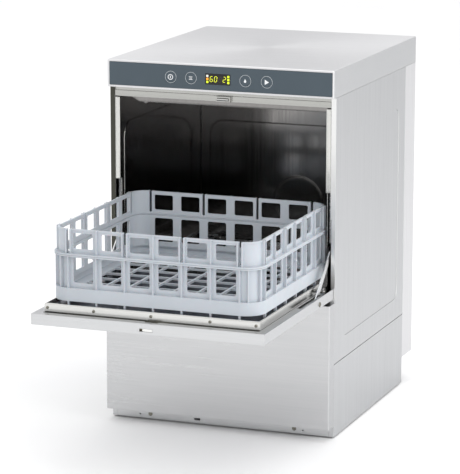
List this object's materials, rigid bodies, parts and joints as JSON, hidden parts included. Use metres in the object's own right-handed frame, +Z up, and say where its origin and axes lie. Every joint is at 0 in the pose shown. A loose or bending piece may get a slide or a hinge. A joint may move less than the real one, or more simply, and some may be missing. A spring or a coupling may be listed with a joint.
{
  "type": "commercial dishwasher",
  "caption": "Under-counter commercial glasswasher with a drop-down door on side stays, a square plastic rack, revolving wash and rinse arms and a push-button control strip.",
  "frame": {"origin": "on the floor, midway between the sides and midway between the open door's front edge and the back of the cabinet", "axes": "+Z up, +X to the right of someone facing the door, +Y towards the back"},
  "size_m": [0.45, 0.882, 0.7],
  "materials": {
    "outer_steel": "fine brushed stainless steel",
    "inner_steel": "smooth stainless steel",
    "fascia_plastic": "satin slate blue",
    "button_plastic": "satin slate blue",
    "display_plastic": "clear black window",
    "rack_plastic": "pale blue-grey polypropylene",
    "arm_plastic": "grey moulded plastic",
    "black_plastic": "black moulded plastic",
    "board": "green circuit board",
    "pump_metal": "cast aluminium",
    "brass": "machined brass",
    "rubber": "black rubber",
    "insulation": "foam board"
  },
  "bodies": {
    "cabinet": {"back_panel": "outer_steel", "base_pan": "outer_steel", "base_side_left": "outer_steel", "base_side_right": "outer_steel", "cable_gland": "black_plastic", "case_screws": "outer_steel", "chamber_back": "inner_steel", "chamber_ceiling": "inner_steel", "chamber_side_left": "inner_steel", "chamber_side_right": "inner_steel", "control_board": "board", "display_window": "display_plastic", "dosing_pumps": "black_plastic", "drain_outlet": "black_plastic", "drain_pump": "black_plastic", "fascia": "fascia_plastic", "front_header": "outer_steel", "hinge_brackets": "outer_steel", "inlet_valve": "brass", "levelling_feet": "rubber", "lower_front_panel": "outer_steel", "lower_spindle": "inner_steel", "plinth_strip": "outer_steel", "rack_guides": "inner_steel", "rear_cover": "outer_steel", "rinse_boiler": "inner_steel", "side_panel_left": "outer_steel", "side_panel_right": "outer_steel", "stay_springs": "inner_steel", "tank_element": "inner_steel", "tank_filter": "inner_steel", "top_cover": "outer_steel", "upper_spindle": "inner_steel", "wash_pump": "pump_metal", "wash_riser": "rubber", "wash_tank": "inner_steel", "water_softener": "arm_plastic"},
    "door": {"door_outer": "outer_steel", "door_inner": "inner_steel", "door_screws": "inner_steel", "door_insulation": "insulation", "door_hinges": "outer_steel"},
    "stay_arms": {"stay_arms": "outer_steel"},
    "stay_sliders": {"stay_sliders": "black_plastic"},
    "rack_clips": {"rack_clips": "rack_plastic"},
    "rack": {"rack_base": "rack_plastic", "rack_collar": "rack_plastic"},
    "latch_roller": {"latch_roller": "inner_steel"},
    "filter_basket": {"filter_basket": "arm_plastic"},
    "overflow_pipe": {"overflow_pipe": "arm_plastic"},
    "salt_cap": {"salt_cap": "black_plastic"},
    "pump_impeller": {"pump_impeller": "black_plastic"},
    "lower_wash_arm": {"lower_wash_arm": "arm_plastic"},
    "lower_rinse_arm": {"lower_rinse_arm": "inner_steel"},
    "upper_wash_arm": {"upper_wash_arm": "arm_plastic"},
    "upper_rinse_arm": {"upper_rinse_arm": "inner_steel"},
    "power_button": {"power_button": "button_plastic"},
    "program_button": {"program_button": "button_plastic"},
    "drain_button": {"drain_button": "button_plastic"},
    "start_button": {"start_button": "button_plastic"}
  },
  "joints": [
    {"name": "door_hinge", "type": "hinge", "parent": "cabinet", "child": "door", "pos_m": [0, -0.079, 0.285], "axis": [-1, 0, 0], "range_deg": [0, 90]},
    {"name": "power_press", "type": "slide", "parent": "cabinet", "child": "power_button", "axis": [0, 1, 0], "range_m": [0, 0.0008], "stiffness_N_per_m": 500},
    {"name": "program_press", "type": "slide", "parent": "cabinet", "child": "program_button", "axis": [0, 1, 0], "range_m": [0, 0.0008], "stiffness_N_per_m": 500},
    {"name": "drain_press", "type": "slide", "parent": "cabinet", "child": "drain_button", "axis": [0, 1, 0], "range_m": [0, 0.0008], "stiffness_N_per_m": 500},
    {"name": "start_press", "type": "slide", "parent": "cabinet", "child": "start_button", "axis": [0, 1, 0], "range_m": [0, 0.0008], "stiffness_N_per_m": 500},
    {"name": "latch_push", "type": "slide", "parent": "cabinet", "child": "latch_roller", "axis": [0, 1, 0], "range_m": [0, 0.0025], "stiffness_N_per_m": 1500},
    {"name": "lower_wash_spin", "type": "hinge", "parent": "cabinet", "child": "lower_wash_arm", "pos_m": [0, 0.153, 0.287], "axis": [0, 0, 1], "continuous": true},
    {"name": "lower_rinse_spin", "type": "hinge", "parent": "cabinet", "child": "lower_rinse_arm", "pos_m": [0, 0.153, 0.3], "axis": [0, 0, 1], "continuous": true},
    {"name": "upper_wash_spin", "type": "hinge", "parent": "cabinet", "child": "upper_wash_arm", "pos_m": [0, 0.153, 0.631], "axis": [0, 0, 1], "continuous": true},
    {"name": "upper_rinse_spin", "type": "hinge", "parent": "cabinet", "child": "upper_rinse_arm", "pos_m": [0, 0.153, 0.621], "axis": [0, 0, 1], "continuous": true},
    {"name": "impeller_spin", "type": "hinge", "parent": "cabinet", "child": "pump_impeller", "pos_m": [0.12, 0.235, 0.12], "axis": [0, 1, 0], "continuous": true},
    {"name": "basket_lift", "type": "slide", "parent": "cabinet", "child": "filter_basket", "axis": [0, 0, -1], "range_m": [-0.06, 0]},
    {"name": "overflow_lift", "type": "slide", "parent": "cabinet", "child": "overflow_pipe", "axis": [0, 0, -1], "range_m": [-0.09, 0]},
    {"name": "salt_cap_turn", "type": "hinge", "parent": "cabinet", "child": "salt_cap", "pos_m": [-0.16, 0.067, 0.214], "axis": [0, 0, 1], "range_deg": [0, 90]},
    {"name": "stay_swing", "type": "hinge", "parent": "door", "child": "stay_arms", "pos_m": [0, -0.145, 0.277], "axis": [-1, 0, 0], "range_deg": [-123.76, 0]},
    {"name": "stay_slide", "type": "slide", "parent": "cabinet", "child": "stay_sliders", "axis": [0, 0, 1], "range_m": [0, 0.1092], "deforming": ["stay_springs"]},
    {"name": "rack_carry", "type": "hinge", "parent": "cabinet", "child": "rack_clips", "pos_m": [0, -0.03, 0.35783], "axis": [-1, 0, 0], "range_deg": [0, 171]},
    {"name": "rack_level", "type": "hinge", "parent": "rack_clips", "child": "rack", "pos_m": [0, -0.21, 0.372], "axis": [-1, 0, 0], "range_deg": [-171, 0]}
  ],
  "couplings": [
    {"joint": "stay_swing", "follows": "door_hinge", "ratio": -1.375},
    {"joint": "stay_slide", "follows": "door_hinge", "m_per_rad": 0.069513},
    {"joint": "rack_carry", "follows": "door_hinge", "ratio": 1.9},
    {"joint": "rack_level", "follows": "door_hinge", "ratio": -1.9}
  ]
}
